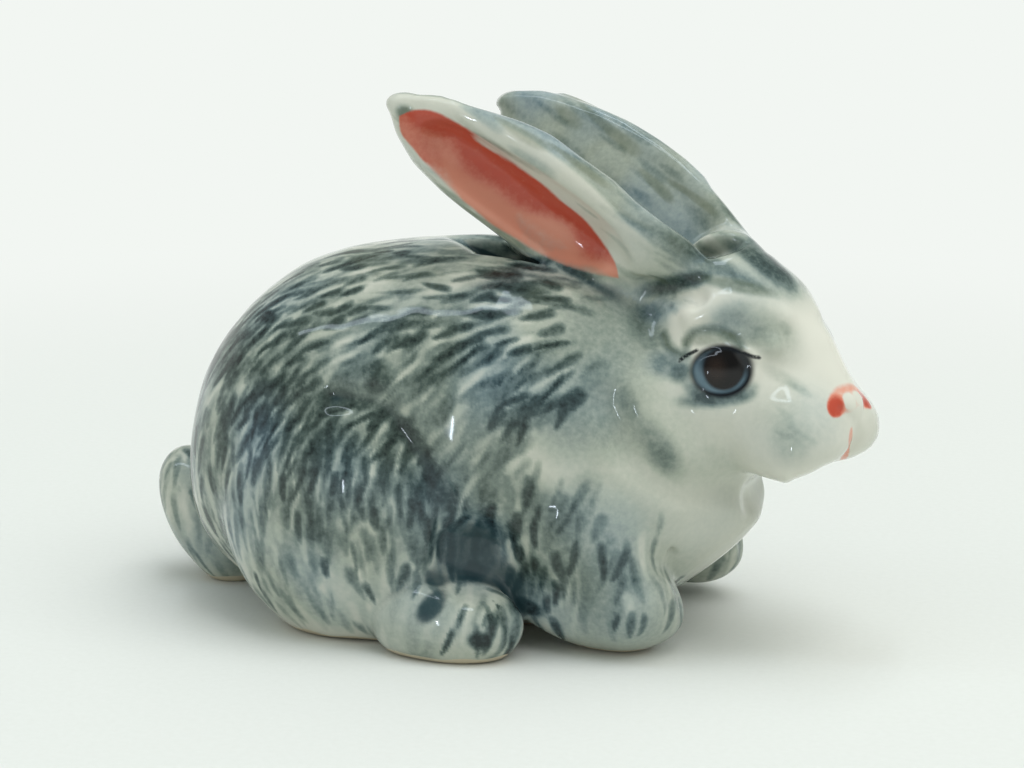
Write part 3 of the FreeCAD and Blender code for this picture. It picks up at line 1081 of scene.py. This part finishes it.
LID_TAILS = [[(-2.7, 0.6), (-2.3, 0.9), (-1.6, 1.25)], [(1.3, 1.05), (1.8, 0.85), (2.3, 0.78)]]
CREASE_LINE = [(-2.25, 1.6), (-1.95, 2.3), (-1.2, 2.6), (-0.35, 2.6), (0.55, 2.2), (1.15, 1.45)]
OUTER_LINE = [(-3.6, 2.3), (-3.4, 1.6), (-2.8, 1.1), (-2.3, 0.95)]
# the first two fur patches, over the cheek and jaw and over the muzzle, are painted shade
FACE_PAINT_AND_SHADE_PATCHES = {
    "fur": [
        (-1.0, -3.5, 5.0, 3.4, 0, 0.09), (5.0, -3.2, 2.6, 2.4, 0, 0.15), (-0.6, -1.85, 1.9, 0.5, 5, 0.6),
        (-1.5, -1.4, 0.9, 0.5, -30, 0.5), (1.4, -1.5, 0.8, 0.45, 35, 0.35), (-2.7, -0.2, 0.6, 0.6, 0, 0.45),
        (-3.3, 0.2, 1.4, 0.8, 0, 0.28), (-0.5, 2.0, 1.7, 0.4, 4, 0.15), (1.8, 2.9, 2.6, 1.3, -15, 0.24),
        (1.4, 2.6, 1.5, 0.8, -18, 0.14), (0.3, 3.4, 1.2, 0.7, 30, 0.14), (3.4, 1.6, 1.8, 1.2, -30, 0.12),
        (-4.6, 3.1, 1.1, 1.4, 10, 0.42), (-3.9, 1.2, 0.9, 1.2, 10, 0.25), (-3.7, 4.1, 1.5, 0.6, 20, 0.25),
        (-6.0, -2.2, 0.5, 1.0, 20, 0.22), (-4.1, -5.0, 0.9, 2.0, 35, 0.3), (-3.8, -5.7, 0.7, 0.9, 35, 0.2),
        (4.0, -4.6, 1.1, 1.3, 0, 0.12), (3.9, -0.6, 1.5, 0.4, -30, 0.12), (0.8, 6.6, 4.0, 1.7, -25, 0.2),
        (-0.2, 6.9, 2.6, 0.4, -28, 0.3), (2.6, 6.8, 2.4, 0.4, -38, 0.3), (1.0, 5.9, 1.8, 0.3, -22, 0.25),
        (1.3, 5.3, 2.0, 0.35, -12, 0.25), (3.0, 7.2, 2.6, 1.0, -42, 0.3), (2.0, 7.6, 2.4, 0.5, -38, 0.3),
        (-3.0, 5.6, 2.0, 0.55, 12, 0.75), (-1.6, 5.9, 0.9, 0.4, 20, 0.5),
    ],
    "blue": [(-0.5, -1.2, 2.4, 1.6, 0, 0.5), (-3.3, 0.4, 1.5, 0.9, 0, 0.5), (-3.9, 3.9, 1.2, 0.9, 0, 0.8)],
    "olive": [(-0.6, 2.0, 1.8, 0.45, 4, 0.7), (1.0, 5.4, 2.6, 0.5, -12, 0.8)],
}
# the orange round the nostril, the bare middle, and the red nostril itself
NOSE_PATCHES = {
    "coral": [
        (7.65, -1.85, 1.2, 1.0, 30, 0.62), (7.95, -2.0, 0.42, 0.5, 20, -0.85), (7.0, -2.35, 0.56, 0.7, -15, 1.0),
    ],
    "deep": [(7.0, -2.35, 0.56, 0.7, -15, 1.0)],
}
# the parting of the lips, and the mouth under it
MOUTH_PATCHES = {"coral": [(8.05, -4.4, 0.2, 0.9, -4, 0.62), (7.95, -5.5, 0.3, 0.7, 0, 0.7)]}
head_local = head.local(points)
for side_name, side in SIDES.items():
    paint_patches(FACE_PAINT_AND_SHADE_PATCHES, face[side_name], soft=0.6)
    other_half = np.flatnonzero(head_local[:, 1] * side < 0.0)
    kept = {name: paint[name][other_half].copy() for name in NOSE_PATCHES}
    paint_patches(NOSE_PATCHES, face[side_name], soft=0.4)
    for name, amounts in kept.items():
        paint[name][other_half] = amounts
    for tail in LID_TAILS:
        draw_line("ink", face[side_name], tail, 0.4)
    for name, strength in (("fur", 0.5), ("olive", 0.6)):
        draw_line(name, face[side_name], CREASE_LINE, 0.5, strength)
        draw_line(name, face[side_name], OUTER_LINE, 0.5, strength)
paint_patches(MOUTH_PATCHES, face["right"], soft=0.4)
print("face painted")

# %% [markdown]
# ## The painted ears
#
# The cups are brushed with coral inside a cream rim, and the backs carry long
# grey and olive streaks.

# %% Painting the ears
# along the ear, then the middle and half the width of the cup, as the camera sees them
CUP_CORNERS = [
    (6.3, -2.9, 0.0), (7.5, -2.5, 1.1), (9.5, -2.3, 2.1), (12.0, -2.2, 2.65), (14.0, -2.05, 2.75),
    (16.0, -1.85, 2.7), (18.3, -1.55, 2.6), (20.5, -1.15, 2.4), (22.2, -0.9, 1.95), (23.6, -0.95, 1.2),
    (24.3, -0.95, 0.0),
]
CUP = smooth_path(CUP_CORNERS, 80)
SEEN_RIDGE = [
    (1.8, 0.9), (3.0, 0.7), (5.7, 0.6), (8.2, 1.1), (9.9, 1.8), (11.7, 2.3), (13.7, 2.6), (15.8, 2.8),
    (17.7, 2.7), (19.4, 2.5), (22.0, 2.3),
]
paint["blue"][is_ear] = np.clip(0.25 + 0.4 * drift(points, 5.0), 0.0, 1.0)[is_ear]
for side_name, side in SIDES.items():
    mine = np.flatnonzero(ear_share[side_name] > 0.01)
    share = ear_share[side_name][mine]
    along, outward, up = ear[side_name].local(points[mine]).T * np.array([[1], [-side], [1]])
    sight = ear["right"].turn.T @ viewer
    along, up = along - outward * sight[0] / sight[1], up - outward * sight[2] / sight[1]
    faces_out = normals[mine] @ ear[side_name].turn[:, 1] * -side
    aside = up - np.interp(along, CUP[:, 0], CUP[:, 1])
    edge = np.interp(along, CUP[:, 0], CUP[:, 2]) - np.abs(aside) + 0.06 * drift(points[mine], 2.5)
    cup = smooth_step(-0.25, 0.5, edge) * smooth_step(-0.5, 0.0, faces_out)
    thin = 1.0 - 0.35 * smooth_step(0.1, 1.0, drift(points[mine], 5.0)) * smooth_step(1.0, -1.0, aside)
    put("coral", mine, share * cup * thin)
    deep = smooth_step(-0.9, 1.5, aside + 0.3 * drift(points[mine], 4.0))
    deep += 0.5 * smooth_step(18.0, 22.0, along)
    paint["deep"][mine] = np.clip(deep, 0.0, 1.0)
    ridge = np.interp(along, *np.transpose(SEEN_RIDGE))
    back = 1.0 - smooth_step(-0.4, 0.15, faces_out) * (1.0 - smooth_step(0.1, 0.6, up - ridge))
    root = 1.0 - smooth_step(3.0, 8.0, along)
    put("fur", mine, share * np.clip(0.08 + 0.24 * back + 0.2 * root, 0.0, 1.0))
    put("olive", mine, share * 0.4 * back * smooth_step(-0.2, 0.8, drift(points[mine], 6.0)))
    from_tip = np.hypot(along - 23.9, up + 0.5) / 0.9
    tip = (1.0 - smooth_step(0.3, 1.1, from_tip)) * smooth_step(0.0, 0.4, faces_out)
    put("fur", mine, 0.5 * tip)
    put("olive", mine, 0.8 * tip)

ear_weight = is_ear * np.clip(paint["fur"], 0.0, 0.4) * 0.5
paint_fur("fur", 110, 0.8, (3.0, 6.0), (0.6, 1.3), (0.06, 0.22), ear_weight, 0.06)
paint_fur("fur", 40, 1.0, (2.0, 4.0), (0.5, 1.0), (0.1, 0.26), ear_weight, 0.06)
paint_fur("olive", 50, 1.2, (3.0, 6.0), (0.6, 1.3), (0.4, 0.9), ear_weight, 0.05)
head_weight = is_head * smooth_step(0.12, 0.3, paint["fur"]) * 0.1
paint_fur("fur", 50, 1.1, (1.2, 2.6), (0.5, 1.0), (0.05, 0.16), head_weight, 0.25)

# %% [markdown]
# ## Cutting the skin into the pieces
#
# The skin is cut along the slip joints.  Each piece is closed by a web across
# each joint that lies wholly under the skin, and keeps the normals of the whole
# skin, so that no joint shows where the real one is smoothed over.

# %%
CAP_SHARES = (0.08, 0.35, 0.68)
CAP_DEPTH = 0.45
FAR_FROM_FACE = 99.0
face_places = np.zeros((len(points), 3))
for side_name, side in SIDES.items():
    chosen = (head_local[:, 1] * side) >= 0
    face_places[chosen] = face[side_name].local(points[chosen])


def boundary_loops(faces):
    """Directed edges that only one face uses, and the loop that each belongs to."""
    starts = faces.ravel()
    ends = np.roll(faces, -1, axis=1).ravel()
    keys = starts.astype(np.int64) * (len(points) + 1) + ends
    back_keys = ends.astype(np.int64) * (len(points) + 1) + starts
    open_edges = np.flatnonzero(~np.isin(keys, back_keys))
    leader = {}

    def root(number):
        while leader.setdefault(number, number) != number:
            number = leader[number]
        return number

    for edge in open_edges:
        leader[root(int(starts[edge]))] = root(int(ends[edge]))
    loops = {}
    for edge in open_edges:
        loops.setdefault(root(int(starts[edge])), []).append((int(starts[edge]), int(ends[edge])))
    return list(loops.values())


def under_skin(spots):
    """The spots, pushed into the clay wherever they would show."""
    for _ in range(6):
        short = np.maximum(sample(clay, spots) + CAP_DEPTH, 0.0)
        spots = spots - slope(clay, spots) * short[:, None]
    return spots


def make_piece(name):
    """The closed piece of skin that stands for one CAD node, with its paint."""
    mine = quads[quad_owner == piece_number[name]]
    used = np.unique(mine)
    local = np.zeros(len(points), int)
    local[used] = np.arange(len(used))
    places = [points[used]]
    corner_normals = [normals[used]]
    faces = local[mine].tolist()
    for loop in boundary_loops(mine):
        ring = np.array([start for start, _ in loop])
        edge = points[ring]
        middle = under_skin(edge.mean(axis=0, keepdims=True))
        outer = {int(start): int(local[start]) for start in ring}
        for share in CAP_SHARES:
            first = sum(len(part) for part in places)
            places.append(under_skin(edge + share * (middle - edge)))
            corner_normals.append(normals[ring])
            inner = {int(start): first + number for number, start in enumerate(ring)}
            faces += [(outer[end], outer[start], inner[start], inner[end]) for start, end in loop]
            outer = inner
        hub = sum(len(part) for part in places)
        places.append(middle)
        corner_normals.append(normals[ring[:1]])
        faces += [(outer[end], outer[start], hub) for start, end in loop]
    places = np.concatenate(places)
    mesh = bpy.data.meshes.new(f"painted_{name}")
    mesh.from_pydata((places * MM).tolist(), [], faces)
    mesh.polygons.foreach_set("use_smooth", np.ones(len(mesh.polygons), bool))
    extra = len(places) - len(used)
    for paint_name, amounts in paint.items():
        layer = mesh.attributes.new(paint_name, "FLOAT", "POINT")
        layer.data.foreach_set("value", np.append(amounts[used], np.zeros(extra)).astype(np.float32))
    layer = mesh.attributes.new("face_place", "FLOAT_VECTOR", "POINT")
    spots = np.vstack([face_places[used], np.full((extra, 3), FAR_FROM_FACE)])
    layer.data.foreach_set("vector", spots.astype(np.float32).ravel())
    mesh.normals_split_custom_set_from_vertices(np.concatenate(corner_normals).tolist())
    piece = bpy.data.objects.new(f"painted_{name}", mesh)
    bpy.context.scene.collection.objects.link(piece)
    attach(piece, "root")
    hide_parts(name)
    return piece


pieces = {name: make_piece(name) for name in PIECES}
print({name: len(piece.data.polygons) for name, piece in pieces.items()})

# %% [markdown]
# ## Painted porcelain under a clear glaze
#
# The ware is white porcelain.  The underglaze colours are soft, because they
# sink into the biscuit and run a little in the glaze, and the glaze over them
# is a thin clear glass: smooth, slightly wavy and pulled thin on the edges.
# Where the foot of the figurine was wiped clean, the clay is bare and matt.

# %% Nodes of a material
MIX_AMOUNT, MIX_UNDER, MIX_OVER, MIX_RESULT = 0, 6, 7, 2


def empty_tree(owner):
    owner.use_nodes = True
    owner.node_tree.nodes.clear()
    return owner.node_tree


def add(tree, kind, inputs=(), **settings):
    """A new shader node with its settings; an input is a value or another node's output."""
    node = tree.nodes.new("ShaderNode" + kind)
    for name, value in settings.items():
        setattr(node, name, value)
    for socket, value in dict(inputs).items():
        if isinstance(value, bpy.types.NodeSocket):
            tree.links.new(value, node.inputs[socket])
        else:
            node.inputs[socket].default_value = value
    return node


def maths(tree, operation, *values, kind="Math"):
    """One step of arithmetic on numbers, or on places where the kind is VectorMath."""
    return add(tree, kind, enumerate(values), operation=operation).outputs[0]


def length_of(tree, place):
    return add(tree, "VectorMath", {0: place}, operation="LENGTH").outputs["Value"]


def ease(tree, value, start=0.0, full=1.0, low=0.0, high=1.0, kind="SMOOTHSTEP"):
    """Goes from low to high while the value goes from start to full."""
    inputs = {"Value": value, "From Min": start, "From Max": full, "To Min": low, "To Max": high}
    return add(tree, "MapRange", inputs, interpolation_type=kind).outputs[0]


def noise_of(tree, grain_mm, detail=3.0, shift=0.0):
    """Even noise whose grain has a real size, about 0.5 on average."""
    place = add(tree, "TexCoord").outputs["Object"]
    moved = maths(tree, "ADD", place, (shift, shift, shift), kind="VectorMath")
    inputs = {"Vector": moved, "Scale": 1.0 / (grain_mm * MM), "Detail": detail, "Roughness": 0.55}
    return add(tree, "TexNoise", inputs).outputs["Fac"]


# %% Paint in a material
# how thick the fur paint and the painted shade are, and what they look like there, green and blue
FUR_AND_SHADE_STEPS = [
    (0.0, "porcelain", "porcelain"),
    (0.25, "green_thin", "blue_thin"),
    (0.5, "green_middle", "blue_middle"),
    (0.75, "green_thick", "blue_thick"),
    (1.0, "green_black", "blue_black"),
]


def ramp(tree, value, steps):
    """Colours laid out along a value from 0 to 1."""
    node = add(tree, "ValToRGB", {"Fac": value})
    for number, (spot, colour_name) in enumerate(steps):
        if number < 2:
            stop = node.color_ramp.elements[number]
            stop.position = spot
        else:
            stop = node.color_ramp.elements.new(spot)
        stop.color = to_linear(COLOURS[colour_name])
    return node.outputs["Color"]


def mix(tree, amount, under, over):
    """One colour over another; each is a name from COLOURS or another node's output."""
    under, over = (to_linear(COLOURS[c]) if isinstance(c, str) else c for c in (under, over))
    inputs = {MIX_AMOUNT: amount, MIX_UNDER: under, MIX_OVER: over}
    return add(tree, "Mix", inputs, data_type="RGBA").outputs[MIX_RESULT]


def amount_of(tree, name, start, full, cover, ragged, noise, kind="SMOOTHSTEP"):
    """How much of a painted layer shows: its edge is moved to and fro by the noise."""
    value = add(tree, "Attribute", attribute_name=name).outputs["Fac"]
    scaled = maths(tree, "MULTIPLY", maths(tree, "ADD", noise, -0.5), ragged)
    gated = maths(tree, "MULTIPLY_ADD", scaled, value, value)
    return ease(tree, gated, start, full, high=cover, kind=kind)


def start_glaze(name):
    """A material with its painted fur, painted shade and pooled glaze; the caller adds its own paints and closes
    it.
    """
    material = bpy.data.materials.new(name)
    tree = empty_tree(material)
    fine = noise_of(tree, 0.4)
    thickness = amount_of(tree, "fur", 0.0, 1.0, 1.0, 0.7, fine, kind="LINEAR")
    blue = add(tree, "Attribute", attribute_name="blue").outputs["Fac"]
    green_fur_and_shade = ramp(tree, thickness, [(spot, green) for spot, green, _ in FUR_AND_SHADE_STEPS])
    blue_fur_and_shade = ramp(tree, thickness, [(spot, cool) for spot, _, cool in FUR_AND_SHADE_STEPS])
    colour = mix(tree, blue, green_fur_and_shade, blue_fur_and_shade)
    olive = amount_of(tree, "olive", 0.1, 0.95, 0.45, 0.4, fine)
    colour = mix(tree, olive, colour, "olive")
    # dark teal in the creases: pooled glaze and painted shade
    pool = amount_of(tree, "pool", 0.1, 0.95, 0.88, 0.3, fine)
    return material, tree, mix(tree, pool, colour, "pool"), fine


GLAZE_ROUGHNESS, CLAY_ROUGHNESS = 0.07, 0.65


def close_glaze(tree, colour, fine):
    """Bare clay at the foot, clear glass everywhere else, and the glaze's slow waves."""
    bare = amount_of(tree, "rim", 0.3, 0.7, 1.0, 0.4, fine)
    colour = mix(tree, bare, colour, "bare_clay")
    rough = ease(tree, bare, low=GLAZE_ROUGHNESS, high=CLAY_ROUGHNESS, kind="LINEAR")
    waves = noise_of(tree, 2.6, detail=1.0, shift=0.7)
    bump = add(tree, "Bump", {"Height": waves, "Strength": 0.5, "Distance": 0.12 * MM}).outputs[0]
    inputs = {"Base Color": colour, "Roughness": rough, "Normal": bump, "IOR": 1.5, "Specular IOR Level": 0.4}
    shader = add(tree, "BsdfPrincipled", inputs)
    add(tree, "OutputMaterial", {"Surface": shader.outputs[0]})


def fur_glaze():
    """Underglaze grey-green and blue-black fur on the body, the legs and the tail, with painted shade on the
    chest and in the creases.
    """
    material, tree, colour, fine = start_glaze("glazed_porcelain_fur")
    close_glaze(tree, colour, fine)
    return material


def coral_over(tree, colour, fine, start, full):
    """Coral paint, deep where it is thick and salmon where it is thin."""
    depth = amount_of(tree, "deep", 0.0, 1.0, 1.0, 0.8, fine)
    coral = mix(tree, depth, "salmon", "coral")
    amount = amount_of(tree, "coral", start, full, 0.95, 0.3, fine)
    return mix(tree, amount, colour, coral)


def ear_glaze():
    """Coral cups in a cream rim, and streaked grey backs."""
    material, tree, colour, fine = start_glaze("glazed_porcelain_ear")
    close_glaze(tree, coral_over(tree, colour, fine, 0.25, 0.8), fine)
    return material


# the second lid_line oval, over the top of the eyeball, is the drawn upper lid with painted shade under it
EYE_RINGS = [
    ("lid_line", (-0.1, -0.1), (1.98, 1.72), 0.12),
    ("eyeball", (-0.2, -0.1), (1.68, 1.36), 0.12),
    ("lid_line", (0.15, 0.45), (1.65, 1.1), 0.3),
    ("iris", (0.0, -0.02), (1.3, 1.3), 0.12),
]


def oval_amount(tree, place, centre, radii, soft):
    """1 inside an oval drawn on the face, 0 outside, with a soft edge."""
    moved = maths(tree, "ADD", place, (-centre[0], -centre[1], 0.0), kind="VectorMath")
    scaled = maths(tree, "MULTIPLY", moved, (1 / radii[0], 1 / radii[1], 0.0), kind="VectorMath")
    return ease(tree, length_of(tree, scaled), 1 + soft, 1 - soft)


def head_glaze():
    """White face with washes, some of them painted shade, a dark brown iris on a blue-grey eyeball with painted
    shade under the upper lid, drawn lids and a red nose.
    """
    material, tree, colour, fine = start_glaze("glazed_porcelain_head")
    place = add(tree, "Attribute", attribute_name="face_place").outputs["Vector"]
    colour = coral_over(tree, colour, fine, 0.3, 0.75)
    light = oval_amount(tree, place, (-0.5, -0.05), (0.55, 0.75), 0.8)
    iris = mix(tree, light, "iris", "iris_light")
    for colour_name, centre, radii, soft in EYE_RINGS:
        inside = oval_amount(tree, place, centre, radii, soft)
        colour = mix(tree, inside, colour, iris if colour_name == "iris" else colour_name)
    ink = amount_of(tree, "ink", 0.5, 0.85, 0.95, 0.2, fine)
    close_glaze(tree, mix(tree, ink, colour, "lid_line"), fine)
    return material


finishes = {
    "porcelain_grey": fur_glaze(),
    "porcelain_white": head_glaze(),
    "porcelain_ear": ear_glaze(),
}
for name, piece in pieces.items():
    slot_name = {"head": "porcelain_white", "ear": "porcelain_ear"}.get(kind_of(name), "porcelain_grey")
    piece.data.materials.append(finishes[slot_name])

# %% [markdown]
# ## Floor and air
#
# The floor is pale and matt.  It fades into the pale backdrop away from the
# figurine, and the backdrop is what the glaze mirrors.

# %% The floor's finish and the air
HAZE_START, HAZE_FULL = 45.0, 170.0
AIR_STRENGTH = 0.54
CEILING_STRENGTH = 0.28


def seen_directly(tree):
    """1 for what the camera sees straight, in a mirror or through glass."""
    path = add(tree, "LightPath")
    total = path.outputs["Is Camera Ray"]
    for ray in ("Is Glossy Ray", "Is Transmission Ray"):
        total = maths(tree, "MAXIMUM", total, path.outputs[ray])
    return total


def floor_finish():
    """A matt floor that fades into the backdrop."""
    material = bpy.data.materials.new("matt_pale_floor")
    tree = empty_tree(material)
    place = add(tree, "TexCoord").outputs["Object"]
    far = ease(tree, length_of(tree, place), HAZE_START * MM, HAZE_FULL * MM)
    amount = maths(tree, "MULTIPLY", far, seen_directly(tree))
    colour = mix(tree, noise_of(tree, 0.5), "floor", "floor_grain")
    matt = add(tree, "BsdfPrincipled", {"Base Color": colour, "Roughness": 0.9})
    haze = add(tree, "Emission", {"Color": to_linear(COLOURS["backdrop"])})
    mixed = add(tree, "MixShader", {0: amount, 1: matt.outputs[0], 2: haze.outputs[0]})
    add(tree, "OutputMaterial", {"Surface": mixed.outputs[0]})
    return material


def studio_air():
    """A bright horizon and a dim ceiling where the glaze mirrors them, and an even light elsewhere."""
    world = bpy.data.worlds.new("studio_air")
    bpy.context.scene.world = world
    tree = empty_tree(world)
    direction = add(tree, "TexCoord").outputs["Generated"]
    height = add(tree, "SeparateXYZ", {0: direction}).outputs["Z"]
    mirrored_air = ease(tree, height, 0.05, 0.55, low=1.0, high=CEILING_STRENGTH)
    strength = ease(tree, seen_directly(tree), low=AIR_STRENGTH, high=mirrored_air, kind="LINEAR")
    air = add(tree, "Background", {"Color": to_linear(COLOURS["backdrop"]), "Strength": strength})
    add(tree, "OutputWorld", {"Surface": air.outputs[0]})


floor.data.materials.append(floor_finish())
studio_air()
bpy.context.scene.view_settings.view_transform = "Standard"
print("materials", [material.name for material in bpy.data.materials])
